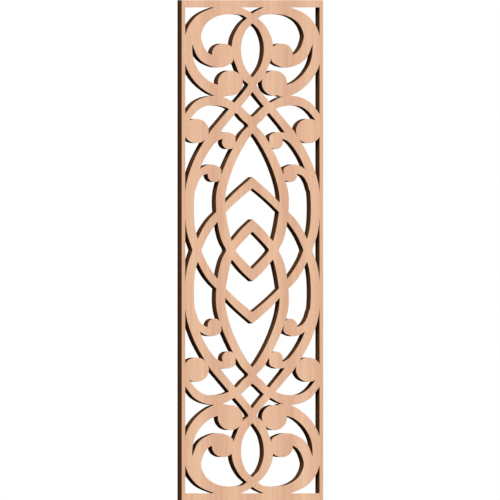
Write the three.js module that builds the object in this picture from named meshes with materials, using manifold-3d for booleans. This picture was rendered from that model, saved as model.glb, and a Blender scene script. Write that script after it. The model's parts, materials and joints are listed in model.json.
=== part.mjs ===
// A carved fretwork grille: one flat board of wood, pierced right through with a mirrored pattern
// of straps, scrolls and round bosses inside a narrow frame. It is made to be fixed to a wall or
// let into an opening, and it has no moving pieces.
//
// Millimetres. X runs across the panel, Z runs up it, and the carved front faces -Y.
// The back lies on the plane Y = 0. The origin is on the back, in the middle of the bottom rail.

import * as THREE from "three";
import { mergeVertices } from "three/addons/utils/BufferGeometryUtils.js";
import Module from "manifold-3d";

// The board: 36 in long, cut from a planed board 11 1/4 in wide and 3/4 in thick.
const PANEL_LENGTH = 914.4;
const PANEL_WIDTH = 285.75;
const PANEL_THICKNESS = 19.05;

// The frame round the pattern, cut from the same board.
const STILE_WIDTH = 7;
const RAIL_WIDTH = 13.4;

// The common width of the straps, measured square to them. The drawing makes each strap a
// little wider or narrower along its way.
const STRAP_WIDTH = 16;

// The round bosses that end the scrolls and buds. Each is a little wider than tall.
const CROWN_BOSS_WIDTH = 50.5;
const CROWN_BOSS_HEIGHT = 46;
const INNER_BOSS_WIDTH = 45;
const INNER_BOSS_HEIGHT = 36.5;
const STILE_BOSS_WIDTH = 50.5;
const STILE_BOSS_HEIGHT = 44.5;
const BUD_BOSS_WIDTH = 27.5;
const BUD_BOSS_HEIGHT = 25.5;

// The pattern was drawn on a panel of this size. On a longer or wider one it spreads to suit.
const DRAWN_LENGTH = 914.4;
const DRAWN_WIDTH = 285.75;

// How finely curves are cut into flats: the most that an edge turns from one flat to the next,
// the longest flat, and the number of points tried on each stretch between two stations.
const FINEST_TURN = THREE.MathUtils.degToRad(4.5);
const LONGEST_FLAT = 20;
const POINTS_PER_STRETCH = 24;
const BOSS_SIDES = 44;
const ROUND_END_SIDES = 14;

// The straps of the upper right quarter. Each runs smoothly through its stations, which are
// [across from the centre line, up from the middle of the panel, how much wider than common].

// From its boss the crown scroll goes out and up round the corner, over the top, across the
// centre line, down the left side of the almond, back across and down the right side.
const longStrap = [
  [58.5, 290.5, 4],
  [73, 292.5, 5],
  [90, 299.5, 3.5],
  [111, 316.5, 3],
  [126, 340.5, 2.5],
  [131, 371, 2.5],
  [124, 401, 0],
  [114.5, 414.5, 0.5],
  [102.5, 425, 0],
  [72.5, 436.5, 0],
  [44.5, 440, 0.5],
  [20.5, 436, -3.5],
  [6, 428.5, -3],
  [-6, 418.5, -2],
  [-18.5, 407.5, -1],
  [-30.5, 384, 2],
  [-32, 362, 2],
  [-25, 337.5, -1],
  [-15, 319.5, 1],
  [-2, 307, -2],
  [4, 295.5, -2.5],
  [13, 284.5, -2.5],
  [41.5, 253.5, -1.5],
  [67, 225.5, -1],
  [79, 211, 1],
  [90, 195.5, 0.5],
  [111.5, 158, 1],
  [124.5, 117.5, 3],
  [127.5, 80.5, 2.5],
  [124, 36.5, 1.5],
  [112, 0, 0],
  [105, -16, 0],
];

// The inner scroll leaves the long strap at the top and curls inside it to its own boss.
const innerScroll = [
  [20.5, 435, -5.5],
  [44.5, 439.5, 0],
  [73.5, 435.5, 0],
  [100, 420.5, 2],
  [114, 393, 4],
  [108, 369.5, 3.5],
  [102.5, 360, 4.5],
  [95, 352.5, 4],
  [75, 344.5, 4],
  [60, 345, 4],
  [48.5, 350, 4],
];

// The arch springs from the stile, crosses the centre line and runs down the left side.
const archStrap = [
  [142, 229, 0],
  [126.5, 249.5, -2.5],
  [113.5, 263, -0.5],
  [97.5, 271, 0],
  [77, 273.5, 2],
  [57, 270.5, 0.5],
  [41, 263.5, -1.5],
  [34.5, 260.5, -1],
  [24.5, 254, -0.5],
  [15.5, 245, 0.5],
  [4, 235.5, 0],
  [-2.5, 222.5, -1.5],
  [-15.5, 208.5, 0.5],
  [-34.5, 178.5, 0],
  [-51.5, 143.5, 1],
  [-63, 106.5, 2.5],
  [-64, 76.5, 2.5],
  [-57.5, 36.5, 3.5],
  [-52, 18, 2.5],
  [-43, 0, -1],
  [-33, -15, 0],
];

// Two buds branch off the long strap and curl over into small bosses.
const upperBud = [
  [101.5, 168.5, -8],
  [92, 188.5, -1],
  [79.5, 203, 0],
  [63, 209, -4],
  [51, 208.5, -1],
  [42, 205, 0],
];
const lowerBud = [
  [120, 109, -7],
  [117, 127.5, -0.5],
  [106, 140, -3.5],
  [95, 146.5, -1],
  [82, 149, 0],
  [71, 145, 0.5],
];

// These two are mirrored at the centre line into a sharp peak.
const chevron = [
  [0, 123.5, 0.5],
  [31.5, 99, -1],
  [63, 70, -3],
  [81, 52, -0.5],
  [94.5, 34, -0.5],
  [104.5, 16, -2],
  [113, 0, -1],
  [117, -13, -0.5],
];
const diamondSide = [
  [0, 45.5, 1],
  [8.5, 38.5, 2],
  [17, 30.5, 1.5],
  [33, 14, 0],
  [44, 1, -0.5],
  [47.5, -8, -0.5],
];

// The bosses of the same quarter: [across, up, width, height].
const bosses = [
  [44.5, 305.5, CROWN_BOSS_WIDTH, CROWN_BOSS_HEIGHT],
  [59, 359.5, INNER_BOSS_WIDTH, INNER_BOSS_HEIGHT],
  [113.5, 218, STILE_BOSS_WIDTH, STILE_BOSS_HEIGHT],
  [47.5, 197.5, BUD_BOSS_WIDTH, BUD_BOSS_HEIGHT],
  [76.5, 137.5, BUD_BOSS_WIDTH, BUD_BOSS_HEIGHT],
];

// A station of the drawing, placed on the panel. Its third value becomes the strap's width.
function place([across, up, wider]) {
  return new THREE.Vector3(
    (across * PANEL_WIDTH) / DRAWN_WIDTH,
    (up * PANEL_LENGTH) / DRAWN_LENGTH,
    STRAP_WIDTH + wider,
  );
}

// The middle line of a strap, with a point only where it has turned or run on far enough.
function middleLine(stations) {
  const curve = new THREE.CatmullRomCurve3(stations.map(place));
  const tried = curve.getPoints(POINTS_PER_STRETCH * (stations.length - 1));
  const kept = [tried[0]];
  let heading = headingOf(tried[0], tried[1]);
  for (let i = 1; i < tried.length - 1; i++) {
    const next = headingOf(tried[i], tried[i + 1]);
    const turned = Math.abs(Math.atan2(Math.sin(next - heading), Math.cos(next - heading)));
    const run = flatDistance(kept[kept.length - 1], tried[i]);
    if (turned > FINEST_TURN || run > LONGEST_FLAT) {
      kept.push(tried[i]);
      heading = next;
    }
  }
  kept.push(tried[tried.length - 1]);
  return kept;
}

function headingOf(from, to) {
  return Math.atan2(to.y - from.y, to.x - from.x);
}

function flatDistance(a, b) {
  return Math.hypot(b.x - a.x, b.y - a.y);
}

// The outline of a strap that follows a middle line, with mitred corners.
// A round end closes its last point.
function strapOutline(line, roundEnd) {
  const left = [];
  const right = [];
  line.forEach((point, i) => {
    const before = headingOf(line[Math.max(i - 1, 0)], line[Math.max(i, 1)]);
    const last = line.length - 1;
    const after = headingOf(line[Math.min(i, last - 1)], line[Math.min(i + 1, last)]);
    const bend = Math.atan2(Math.sin(after - before), Math.cos(after - before)) / 2;
    const normal = before + bend + Math.PI / 2;
    const reach = point.z / 2 / Math.cos(bend);
    left.push(new THREE.Vector2(point.x + reach * Math.cos(normal), point.y + reach * Math.sin(normal)));
    right.push(new THREE.Vector2(point.x - reach * Math.cos(normal), point.y - reach * Math.sin(normal)));
  });
  const end = roundEnd ? endArc(line) : [];
  return [...left, ...end, ...right.reverse()];
}

// The half circle round a strap's last point, from its left edge to its right edge.
function endArc(line) {
  const tip = line[line.length - 1];
  const heading = headingOf(line[line.length - 2], tip);
  const radius = tip.z / 2;
  const arc = [];
  for (let i = 1; i < ROUND_END_SIDES; i++) {
    const angle = heading + Math.PI / 2 - (Math.PI * i) / ROUND_END_SIDES;
    arc.push(new THREE.Vector2(tip.x + radius * Math.cos(angle), tip.y + radius * Math.sin(angle)));
  }
  return arc;
}

// A strap that is mirrored at the centre line into a peak.
function peakOutline(stations) {
  const half = middleLine(stations);
  const mirrored = half.slice(1).map((point) => new THREE.Vector3(-point.x, point.y, point.z));
  return strapOutline([...mirrored.reverse(), ...half], false);
}

function bossOutline([across, up, width, height]) {
  const centre = place([across, up, 0]);
  const outline = [];
  for (let i = 0; i < BOSS_SIDES; i++) {
    const angle = (2 * Math.PI * i) / BOSS_SIDES;
    const x = centre.x + (width / 2) * Math.cos(angle);
    const y = centre.y + (height / 2) * Math.sin(angle);
    outline.push(new THREE.Vector2(x, y));
  }
  return outline;
}

// A rectangle about the panel's middle, for the board's edges and the opening inside the frame.
function rectangle(width, height) {
  const x = width / 2;
  const y = height / 2;
  return [
    new THREE.Vector2(-x, -y),
    new THREE.Vector2(x, -y),
    new THREE.Vector2(x, y),
    new THREE.Vector2(-x, y),
  ];
}

const wasm = await Module();
wasm.setup();

// A solid cut from the board along a flat outline, and along that of a hole where one is given.
// It stands on edge: the outline's up becomes Z, and the board runs from y = 0 to the front.
function cutFromBoard(outline, hole) {
  const shape = new THREE.Shape(outline);
  if (hole) shape.holes.push(new THREE.Path(hole));
  const geometry = new THREE.ExtrudeGeometry(shape, { depth: PANEL_THICKNESS, bevelEnabled: false });
  geometry.deleteAttribute("normal");
  geometry.deleteAttribute("uv");
  const merged = mergeVertices(geometry);
  const corners = merged.attributes.position;
  for (let i = 0; i < corners.count; i++) {
    corners.setXYZ(i, corners.getX(i), -corners.getZ(i), corners.getY(i));
  }
  return new wasm.Manifold(
    new wasm.Mesh({
      numProp: 3,
      vertProperties: new Float32Array(corners.array),
      triVerts: new Uint32Array(merged.index.array),
    }),
  );
}

// The whole panel: the frame with the quarter's pattern in it, mirrored across and up and down.
function fretwork() {
  const quarter = [
    strapOutline(middleLine(longStrap).reverse(), true),
    strapOutline(middleLine(innerScroll), true),
    strapOutline(middleLine(archStrap), false),
    strapOutline(middleLine(upperBud), true),
    strapOutline(middleLine(lowerBud), true),
    peakOutline(chevron),
    peakOutline(diamondSide),
    ...bosses.map(bossOutline),
  ];

  const edges = rectangle(PANEL_WIDTH, PANEL_LENGTH);
  const opening = rectangle(PANEL_WIDTH - 2 * STILE_WIDTH, PANEL_LENGTH - 2 * RAIL_WIDTH);
  let panel = cutFromBoard(edges, opening);
  for (const flipX of [1, -1]) {
    for (const flipY of [1, -1]) {
      for (const outline of quarter) {
        const turned = outline.map((point) => new THREE.Vector2(point.x * flipX, point.y * flipY));
        panel = panel.add(cutFromBoard(turned));
      }
    }
  }
  // Strap ends that reach past the frame are cut off flush with the board's edges.
  return panel.intersect(cutFromBoard(edges));
}

// A solid as a closed mesh for the scene.
function toGeometry(solid) {
  const mesh = solid.getMesh();
  const geometry = new THREE.BufferGeometry();
  geometry.setAttribute("position", new THREE.Float32BufferAttribute(mesh.vertProperties, 3));
  geometry.setIndex(new THREE.Uint32BufferAttribute(mesh.triVerts, 1));
  geometry.computeVertexNormals();
  return geometry;
}

// Pale close-grained wood, sanded smooth and left without a shine.
const paleWood = new THREE.MeshStandardMaterial({
  color: "#e4b795",
  roughness: 0.7,
  metalness: 0,
  flatShading: true,
});

const grille = new THREE.Mesh(toGeometry(fretwork()), paleWood);
grille.name = "fretwork_grille";
grille.position.z = PANEL_LENGTH / 2 - RAIL_WIDTH / 2;

const group = new THREE.Group();
group.add(grille);

export default group;
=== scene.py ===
import json
import math

import bpy
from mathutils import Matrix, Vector

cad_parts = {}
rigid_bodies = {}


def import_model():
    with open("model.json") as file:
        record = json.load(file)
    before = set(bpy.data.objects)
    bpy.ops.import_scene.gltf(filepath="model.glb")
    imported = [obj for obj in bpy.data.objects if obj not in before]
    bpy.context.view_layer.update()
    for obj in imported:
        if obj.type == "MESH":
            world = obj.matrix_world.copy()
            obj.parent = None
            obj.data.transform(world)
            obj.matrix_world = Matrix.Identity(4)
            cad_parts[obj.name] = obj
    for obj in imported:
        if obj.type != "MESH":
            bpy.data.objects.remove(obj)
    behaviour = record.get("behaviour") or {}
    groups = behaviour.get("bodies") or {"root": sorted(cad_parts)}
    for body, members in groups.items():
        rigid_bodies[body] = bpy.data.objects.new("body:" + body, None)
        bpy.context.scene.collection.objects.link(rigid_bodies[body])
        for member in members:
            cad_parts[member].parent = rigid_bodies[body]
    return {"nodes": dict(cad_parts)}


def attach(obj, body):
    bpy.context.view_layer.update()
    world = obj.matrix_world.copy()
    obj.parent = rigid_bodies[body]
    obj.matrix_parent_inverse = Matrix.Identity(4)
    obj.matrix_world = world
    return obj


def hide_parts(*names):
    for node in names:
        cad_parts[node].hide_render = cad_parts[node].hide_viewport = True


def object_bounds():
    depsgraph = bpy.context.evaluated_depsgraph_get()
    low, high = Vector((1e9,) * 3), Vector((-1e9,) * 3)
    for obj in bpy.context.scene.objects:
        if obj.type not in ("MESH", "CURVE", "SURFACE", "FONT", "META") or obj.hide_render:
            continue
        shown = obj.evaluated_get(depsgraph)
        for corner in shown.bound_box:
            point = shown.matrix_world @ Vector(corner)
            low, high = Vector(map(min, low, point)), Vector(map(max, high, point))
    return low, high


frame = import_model()
cad_low, cad_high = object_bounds()

# A tall flat grille of pale sanded wood, sawn through with crossing straps, scrolls and round
# bosses. Its faces are bare wood and its cut walls are scorched dark brown.
# Metres. X runs across the panel, Z up it, and the front faces -Y.

MM = 0.001

# The panel's own sizes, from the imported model.
PANEL_WIDTH = cad_high.x - cad_low.x
PANEL_LENGTH = cad_high.z - cad_low.z
PANEL_THICKNESS = cad_high.y - cad_low.y
STILE_WIDTH = 7 * MM
RAIL_WIDTH = 13.4 * MM

# The photograph's frame is square. Its rays are parallel, level, and come from the panel's left.
PHOTO_SIDE_PX = 500
PANEL_HEIGHT_PX = 500.5
PANEL_MIDDLE_RIGHT_PX = 2.51
PANEL_MIDDLE_BELOW_PX = 0.33
VIEW_FROM_LEFT = math.radians(25.35)
CAMERA_DISTANCE = 3.0


def linear(hex_colour):
    """A colour written as sRGB hex, as the linear values that a shader takes."""
    shares = [int(hex_colour[i:i + 2], 16) / 255 for i in (1, 3, 5)]
    curve = [s / 12.92 if s <= 0.04045 else ((s + 0.055) / 1.055) ** 2.4 for s in shares]
    return (*curve, 1.0)


def add_node(tree, kind, settings, inputs):
    """Adds a node. Its inputs are given as values or as the outputs that feed them."""
    node = tree.nodes.new(kind)
    for name, value in settings.items():
        setattr(node, name, value)
    for name, value in inputs.items():
        if isinstance(value, bpy.types.NodeSocket):
            tree.links.new(value, node.inputs[name])
        else:
            node.inputs[name].default_value = value
    return node


def place_camera():
    """Sets up the photograph's view."""
    metres_per_px = PANEL_LENGTH / PANEL_HEIGHT_PX
    towards_camera = Vector((-math.sin(VIEW_FROM_LEFT), -math.cos(VIEW_FROM_LEFT), 0))
    picture_right = Vector((math.cos(VIEW_FROM_LEFT), -math.sin(VIEW_FROM_LEFT), 0))
    picture_up = Vector((0, 0, 1))

    front_middle = (cad_low + cad_high) / 2
    front_middle.y = cad_low.y
    aim = (
        front_middle
        - picture_right * PANEL_MIDDLE_RIGHT_PX * metres_per_px
        + picture_up * PANEL_MIDDLE_BELOW_PX * metres_per_px
    )
    bpy.ops.object.camera_add(
        location=aim + towards_camera * CAMERA_DISTANCE,
        rotation=(math.pi / 2, 0, -VIEW_FROM_LEFT),
    )
    camera = bpy.context.object
    camera.name = "camera"
    camera.data.type = "ORTHO"
    camera.data.ortho_scale = PHOTO_SIDE_PX * metres_per_px
    bpy.context.scene.camera = camera


# Light. A dim even ambient light, a wide soft key from above on the left, and a soft light
# behind for the back. The camera sees a white ground where it looks past the panel.
AMBIENT = 0.22
KEY_STRENGTH = 4.43
KEY_FROM = Vector((-0.42, -0.55, 0.72))
KEY_SOFTNESS = math.radians(25)
BACK_STRENGTH = 2.2
BACK_FROM = Vector((0.45, 0.75, 0.5))
BACK_SOFTNESS = math.radians(40)
LIGHT_DISTANCE = 4.0


def add_sun(name, from_direction, strength, softness):
    """A far soft light that shines from a direction, evenly over the whole panel."""
    bpy.ops.object.light_add(type="SUN", location=from_direction.normalized() * LIGHT_DISTANCE)
    sun = bpy.context.object
    sun.name = name
    sun.rotation_euler = from_direction.to_track_quat("Z", "Y").to_euler()
    sun.data.energy = strength
    sun.data.angle = softness


def light_studio():
    """Sets up the ambient light, the white ground behind the panel, and both lights."""
    white = linear("#ffffff")
    world = bpy.data.worlds.new("studio")
    world.use_nodes = True
    bpy.context.scene.world = world
    tree = world.node_tree
    tree.nodes.clear()
    path = add_node(tree, "ShaderNodeLightPath", {}, {})
    ambient = add_node(tree, "ShaderNodeBackground", {}, {"Color": white, "Strength": AMBIENT})
    ground = add_node(tree, "ShaderNodeBackground", {}, {"Color": white, "Strength": 1.0})
    seen = add_node(tree, "ShaderNodeMixShader", {}, {0: path.outputs["Is Camera Ray"]})
    tree.links.new(ambient.outputs[0], seen.inputs[1])
    tree.links.new(ground.outputs[0], seen.inputs[2])
    add_node(tree, "ShaderNodeOutputWorld", {}, {"Surface": seen.outputs[0]})
    add_sun("key_light", KEY_FROM, KEY_STRENGTH, KEY_SOFTNESS)
    add_sun("back_light", BACK_FROM, BACK_STRENGTH, BACK_SOFTNESS)
    bpy.context.scene.view_settings.view_transform = "Standard"


# Materials. Each pattern is read at the real size of what it draws, on the panel's own
# coordinates, so that the grain runs up the panel on both faces.

# Two inputs and one output of a Mix node that is set to colours.
COLOUR_A = 6
COLOUR_B = 7
COLOUR_OUT = 2


def sanded_alder():
    """Alder, planed and sanded fine: pale peach-tan, close-grained, with soft growth bands up
    the board and hardly any shine."""
    band_spacing = 75.5 * MM
    band_wander = 1.6
    band_squeeze = 0.12
    streak_width = 6 * MM
    streak_length = 160 * MM
    streak_contrast = 0.22
    # Real fibres are about a tenth of this width. They are drawn this coarse so that they show.
    fibre_width = 1.4 * MM
    fibre_length = 22 * MM
    fibre_height = 0.06 * MM
    fibre_contrast = 0.14
    # The wave pattern at scale 1 turns through this many radians in a metre.
    wave_turn = 20

    material = bpy.data.materials.new("sanded_alder")
    material.use_nodes = True
    tree = material.node_tree
    tree.nodes.clear()
    place = add_node(tree, "ShaderNodeTexCoord", {}, {}).outputs["Object"]

    along_grain = add_node(
        tree, "ShaderNodeMapping", {}, {"Vector": place, "Scale": (1, 1, band_squeeze)}
    ).outputs[0]
    bands = add_node(
        tree,
        "ShaderNodeTexWave",
        {"wave_type": "BANDS", "bands_direction": "X", "wave_profile": "SIN"},
        {
            "Vector": along_grain,
            "Scale": 2 * math.pi / wave_turn / band_spacing,
            "Distortion": band_wander,
            "Detail": 2.0,
            "Detail Scale": 3.0,
            "Detail Roughness": 0.5,
        },
    ).outputs["Fac"]

    def drawn_out(width, length):
        """Noise in streaks of that width, drawn out up the board."""
        squeezed = add_node(
            tree, "ShaderNodeMapping", {}, {"Vector": place, "Scale": (1, 1, width / length)}
        )
        return add_node(
            tree,
            "ShaderNodeTexNoise",
            {},
            {"Vector": squeezed.outputs[0], "Scale": 1 / width, "Detail": 2.0, "Roughness": 0.5},
        ).outputs[0]

    streaks = drawn_out(streak_width, streak_length)
    fibres = drawn_out(fibre_width, fibre_length)

    board = add_node(
        tree,
        "ShaderNodeMix",
        {"data_type": "RGBA"},
        {0: bands, COLOUR_A: linear("#dcad8e"), COLOUR_B: linear("#e6ba99")},
    ).outputs[COLOUR_OUT]
    streaked = add_node(
        tree,
        "ShaderNodeMix",
        {"data_type": "RGBA", "blend_type": "OVERLAY"},
        {0: streak_contrast, COLOUR_A: board, COLOUR_B: streaks},
    ).outputs[COLOUR_OUT]
    coloured = add_node(
        tree,
        "ShaderNodeMix",
        {"data_type": "RGBA", "blend_type": "OVERLAY"},
        {0: fibre_contrast, COLOUR_A: streaked, COLOUR_B: fibres},
    ).outputs[COLOUR_OUT]
    grain = add_node(
        tree, "ShaderNodeBump", {}, {"Height": fibres, "Strength": 0.6, "Distance": fibre_height}
    ).outputs[0]
    roughness = add_node(
        tree,
        "ShaderNodeMapRange",
        {},
        {"Value": fibres, "To Min": 0.58, "To Max": 0.72},
    ).outputs[0]
    wood = add_node(
        tree,
        "ShaderNodeBsdfPrincipled",
        {},
        {"Base Color": coloured, "Roughness": roughness, "IOR": 1.5, "Normal": grain},
    )
    add_node(tree, "ShaderNodeOutputMaterial", {}, {"Surface": wood.outputs[0]})
    return material


def scorched_cut():
    """The sawn walls of the same board, scorched by the cutter: dark brown, nearly dead matt,
    with fine ridges through the board's thickness, and a little darker towards the back."""
    ridge_width = 1.6 * MM
    ridge_height = 0.12 * MM
    ridge_contrast = 0.35
    patch_width = 14 * MM
    patch_share = 0.5
    darker_at_back = 0.5

    material = bpy.data.materials.new("scorched_cut")
    material.use_nodes = True
    tree = material.node_tree
    tree.nodes.clear()
    place = add_node(tree, "ShaderNodeTexCoord", {}, {}).outputs["Object"]

    through_board = add_node(
        tree, "ShaderNodeMapping", {}, {"Vector": place, "Scale": (1, 0.04, 1)}
    )
    ridges = add_node(
        tree,
        "ShaderNodeTexNoise",
        {},
        {"Vector": through_board.outputs[0], "Scale": 1 / ridge_width, "Detail": 2.0},
    ).outputs[0]
    patches = add_node(
        tree,
        "ShaderNodeTexNoise",
        {},
        {"Vector": place, "Scale": 1 / patch_width, "Detail": 2.0},
    ).outputs[0]
    # The walls' colour is made darker towards the back of the board.
    depth = add_node(
        tree, "ShaderNodeSeparateXYZ", {}, {"Vector": place}
    ).outputs["Y"]
    back_darkening = add_node(
        tree,
        "ShaderNodeMapRange",
        {},
        {
            "Value": depth,
            "From Min": cad_low.y,
            "From Max": cad_high.y,
            "To Min": 0.0,
            "To Max": darker_at_back,
        },
    ).outputs[0]
    uneven = add_node(
        tree,
        "ShaderNodeMath",
        {"operation": "MULTIPLY_ADD"},
        {0: patches, 1: patch_share, 2: back_darkening},
    ).outputs[0]
    brown = add_node(
        tree,
        "ShaderNodeMix",
        {"data_type": "RGBA"},
        {0: uneven, COLOUR_A: linear("#583820"), COLOUR_B: linear("#392618")},
    ).outputs[COLOUR_OUT]
    ridged = add_node(
        tree,
        "ShaderNodeMix",
        {"data_type": "RGBA", "blend_type": "OVERLAY"},
        {0: ridge_contrast, COLOUR_A: brown, COLOUR_B: ridges},
    ).outputs[COLOUR_OUT]
    relief = add_node(
        tree, "ShaderNodeBump", {}, {"Height": ridges, "Strength": 0.5, "Distance": ridge_height}
    ).outputs[0]
    char = add_node(
        tree,
        "ShaderNodeBsdfPrincipled",
        {},
        {
            "Base Color": ridged,
            "Roughness": 0.9,
            "IOR": 1.45,
            "Specular IOR Level": 0.0,
            "Normal": relief,
        },
    )
    add_node(tree, "ShaderNodeOutputMaterial", {}, {"Surface": char.outputs[0]})
    return material


def pale_floor():
    """Smooth matt paper, as a studio floor."""
    material = bpy.data.materials.new("matt_paper")
    material.use_nodes = True
    paper = material.node_tree.nodes["Principled BSDF"]
    paper.inputs["Base Color"].default_value = linear("#f2efea")
    paper.inputs["Roughness"].default_value = 0.9
    return material


# The panel's edges are rubbed down with sandpaper to a small round of this radius.
EASED_RADIUS = 0.25 * MM
EASED_STEPS = 3

# The cutter leaves a tiny round in every gap's corners, drawn with this many flats.
CORNER_CUT = 0.22 * MM
CORNER_FLATS = 3

# Sawn corners turn more than this. Gentler turns belong to a curve, and each of the curve's flats
# is drawn in this many steps.
SHARPEST_CURVE = math.radians(20)
CURVE_STEPS = 2

# Points of the outline that are closer than this are one point.
TOUCHING = 0.5 * MM

# A point that is closer to a line or plane than this is on it.
ON_LINE = 0.01 * MM

# How far a face's direction runs through the board: all of it for the front and back, and hardly
# at all for a sawn wall. The eased arrises lie between.
BROAD_FACE_LEAN = 0.999
WALL_LEAN = 0.05

# Faces that meet at a blunter angle than this are shaded as one curve.
SMOOTH_BELOW = math.radians(35)

FLOOR_SIZE = 40


def only(piece):
    """Makes a piece the active one and the only one that is selected."""
    bpy.ops.object.select_all(action="DESELECT")
    piece.select_set(True)
    bpy.context.view_layer.objects.active = piece


def select_faces(piece, wanted):
    """Goes to edit mode with only those faces selected that pass a test."""
    only(piece)
    bpy.ops.object.mode_set(mode="EDIT")
    bpy.ops.mesh.select_mode(type="FACE")
    bpy.ops.mesh.select_all(action="DESELECT")
    bpy.ops.object.mode_set(mode="OBJECT")
    for face in piece.data.polygons:
        face.select = wanted(face)
    bpy.ops.object.mode_set(mode="EDIT")


def turn_and_place(piece, rotation, location):
    """Turns and moves a piece, and keeps the result in its mesh."""
    only(piece)
    piece.rotation_mode = "XYZ"
    piece.rotation_euler = rotation
    piece.location = location
    bpy.ops.object.transform_apply(location=True, rotation=True, scale=True)


def clear_corners():
    """Clears the active mesh's selection, and has it selected by its corners from here on."""
    bpy.ops.object.mode_set(mode="EDIT")
    bpy.ops.mesh.select_mode(type="VERT")
    bpy.ops.mesh.select_all(action="DESELECT")
    bpy.ops.object.mode_set(mode="OBJECT")


def corner_neighbours(piece):
    """For each corner of a wire drawing, the corners that an edge joins it to."""
    neighbours = [[] for _ in piece.data.vertices]
    for edge in piece.data.edges:
        first, second = edge.vertices
        neighbours[first].append(second)
        neighbours[second].append(first)
    return neighbours


def trim_stubs(drawing):
    """Removes the short loose ends left where a gap's tip is narrower than its points' spacing."""
    only(drawing)
    clear_corners()
    for corner, joined in zip(drawing.data.vertices, corner_neighbours(drawing)):
        corner.select = len(joined) == 1
    bpy.ops.object.mode_set(mode="EDIT")
    bpy.ops.mesh.delete(type="VERT")
    bpy.ops.object.mode_set(mode="OBJECT")


def front_outline(node):
    """The outline of the front face and of every gap in it, as a flat drawing."""
    only(node)
    bpy.ops.object.duplicate()
    outline = bpy.context.object
    outline.name = "carved_panel"
    bpy.ops.object.parent_clear(type="CLEAR_KEEP_TRANSFORM")

    bpy.ops.object.mode_set(mode="EDIT")
    bpy.ops.mesh.select_all(action="SELECT")
    bpy.ops.mesh.remove_doubles(threshold=ON_LINE)
    bpy.ops.object.mode_set(mode="OBJECT")
    corners = outline.data.vertices
    select_faces(
        outline,
        lambda face: any(corners[i].co.y > cad_low.y + ON_LINE for i in face.vertices),
    )
    bpy.ops.mesh.delete(type="FACE")
    bpy.ops.mesh.select_all(action="SELECT")
    bpy.ops.mesh.region_to_loop()
    bpy.ops.mesh.select_all(action="INVERT")
    bpy.ops.mesh.delete(type="EDGE")
    bpy.ops.mesh.select_all(action="SELECT")
    bpy.ops.mesh.delete_loose(use_verts=True, use_edges=False, use_faces=False)
    bpy.ops.mesh.select_all(action="SELECT")
    bpy.ops.mesh.remove_doubles(threshold=TOUCHING)
    bpy.ops.object.mode_set(mode="OBJECT")
    trim_stubs(outline)
    turn_and_place(outline, (-math.pi / 2, 0, 0), (0, 0, cad_low.y))
    return outline


def on_frame_line(point):
    """Whether a point of the flat drawing is on a straight edge of the frame."""
    middle_z = (cad_low.z + cad_high.z) / 2
    across = abs(point.x)
    up = abs(point.y - middle_z)
    lines = (
        across - PANEL_WIDTH / 2,
        across - (PANEL_WIDTH / 2 - STILE_WIDTH),
        up - PANEL_LENGTH / 2,
        up - (PANEL_LENGTH / 2 - RAIL_WIDTH),
    )
    return any(abs(line) < ON_LINE for line in lines)


def round_the_curves(drawing):
    """Bends the drawing's short flats into curves. Sawn corners and the frame stay straight."""
    only(drawing)
    bpy.ops.object.mode_set(mode="EDIT")
    bpy.ops.curve.select_all(action="SELECT")
    bpy.ops.curve.spline_type_set(type="BEZIER")
    bpy.ops.curve.handle_type_set(type="VECTOR")
    for spline in drawing.data.splines:
        points = spline.bezier_points
        for i, point in enumerate(points):
            before = point.co - points[i - 1].co
            after = points[(i + 1) % len(points)].co - point.co
            corner = before.angle(after) > SHARPEST_CURVE or on_frame_line(point.co)
            point.select_control_point = not corner
            point.select_left_handle = not corner
            point.select_right_handle = not corner
    bpy.ops.curve.handle_type_set(type="AUTOMATIC")
    bpy.ops.object.mode_set(mode="OBJECT")


def in_wood(point, panel):
    """Whether a point of the front is wood, not gap: an odd number of the outline's edges lie
    level with it on its right."""
    corners = panel.data.vertices
    crossed = 0
    for edge in panel.data.edges:
        start, end = (corners[i].co for i in edge.vertices)
        if (start.z > point.z) != (end.z > point.z):
            share = (point.z - start.z) / (end.z - start.z)
            crossed += start.x + share * (end.x - start.x) > point.x
    return crossed % 2 == 1


def round_the_corners(panel):
    """Rounds the corner of every gap in the flat outline a little. The wood's own outer corners
    stay sharp."""
    only(panel)
    corners = panel.data.vertices
    clear_corners()
    for corner, (one, other) in zip(corners, corner_neighbours(panel)):
        back = (corners[one].co - corner.co).normalized()
        ahead = (corners[other].co - corner.co).normalized()
        if math.pi - back.angle(ahead) > SHARPEST_CURVE:
            between = corner.co + (back + ahead).normalized() * CORNER_CUT
            corner.select = not in_wood(between, panel)
    bpy.ops.object.mode_set(mode="EDIT")
    bpy.ops.mesh.bevel(
        offset=CORNER_CUT,
        offset_type="OFFSET",
        segments=CORNER_FLATS,
        affect="VERTICES",
        clamp_overlap=False,
    )
    bpy.ops.object.mode_set(mode="OBJECT")


def is_broad_face(face):
    """Whether a face lies in the panel's front or back."""
    return abs(face.normal.y) > BROAD_FACE_LEAN


def is_wall(face):
    """Whether a face stands square to the panel's front, as every cut does."""
    return abs(face.normal.y) < WALL_LEAN


def curved_outline():
    """The panel's front outline as a flat drawing with true curves and rounded gap corners."""
    only(front_outline(frame["nodes"]["fretwork_grille"]))
    bpy.ops.object.convert(target="CURVE")
    outline = bpy.context.object
    outline.data.resolution_u = CURVE_STEPS
    round_the_curves(outline)
    only(outline)
    bpy.ops.object.convert(target="MESH")
    outline = bpy.context.object
    turn_and_place(outline, (math.pi / 2, 0, 0), (0, cad_low.y, 0))

    bpy.ops.object.mode_set(mode="EDIT")
    bpy.ops.mesh.select_all(action="SELECT")
    bpy.ops.mesh.remove_doubles(threshold=ON_LINE)
    bpy.ops.object.mode_set(mode="OBJECT")
    round_the_corners(outline)
    return outline


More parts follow.
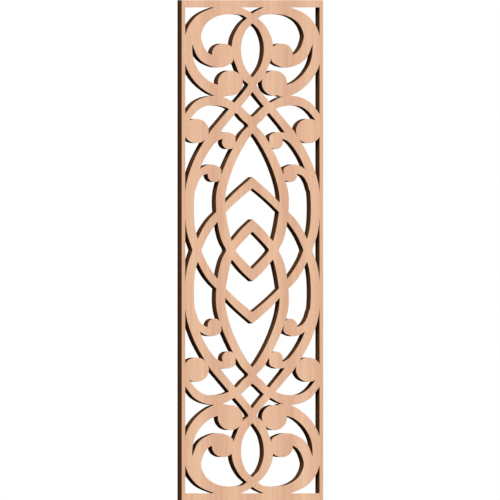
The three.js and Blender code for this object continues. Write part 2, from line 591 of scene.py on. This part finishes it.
def thicken(panel):
    """Fills the outline with wood, leaving its gaps, and draws it back to the board's thickness."""
    only(panel)
    bpy.ops.object.mode_set(mode="EDIT")
    bpy.ops.mesh.select_all(action="SELECT")
    bpy.ops.mesh.fill()
    bpy.ops.mesh.select_all(action="SELECT")
    bpy.ops.mesh.extrude_region_move(TRANSFORM_OT_translate={"value": (0, PANEL_THICKNESS, 0)})
    bpy.ops.mesh.select_all(action="SELECT")
    bpy.ops.mesh.normals_make_consistent(inside=False)
    bpy.ops.object.mode_set(mode="OBJECT")


def ease_arrises(panel):
    """Rounds every edge of the front and back a little. The new corners keep square to the edge,
    because they would fold the face over if they slid along its triangles."""
    select_faces(panel, is_broad_face)
    bpy.ops.mesh.region_to_loop()
    bpy.ops.mesh.bevel(
        offset=EASED_RADIUS,
        offset_type="OFFSET",
        segments=EASED_STEPS,
        affect="EDGES",
        clamp_overlap=False,
        loop_slide=False,
    )
    bpy.ops.object.mode_set(mode="OBJECT")


def finish_surfaces(panel, face_material, wall_material):
    """Gives the front, the back and the eased arrises one material, and every wall the other."""
    panel.data.materials.clear()
    panel.data.materials.append(face_material)
    panel.data.materials.append(wall_material)
    select_faces(panel, is_wall)
    panel.active_material_index = 1
    bpy.ops.object.material_slot_assign()
    bpy.ops.object.mode_set(mode="OBJECT")


def smooth_panel(panel):
    """Shades the curved walls and the rounded arrises smooth, and keeps both faces flat."""
    only(panel)
    bpy.ops.object.shade_smooth_by_angle(angle=SMOOTH_BELOW)
    select_faces(panel, is_broad_face)
    bpy.ops.mesh.region_to_loop()
    bpy.ops.mesh.mark_sharp()
    bpy.ops.object.mode_set(mode="OBJECT")


def lay_floor():
    """A plain pale floor under the panel, wide enough to fill the view from above."""
    bpy.ops.mesh.primitive_plane_add(size=FLOOR_SIZE, location=(0, 0, cad_low.z))
    floor = bpy.context.object
    floor.name = "floor"
    floor.data.materials.append(pale_floor())
    floor.visible_diffuse = False


place_camera()
light_studio()
lay_floor()

panel = curved_outline()
thicken(panel)
ease_arrises(panel)
finish_surfaces(panel, sanded_alder(), scorched_cut())
smooth_panel(panel)
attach(panel, "root")
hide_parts("fretwork_grille")
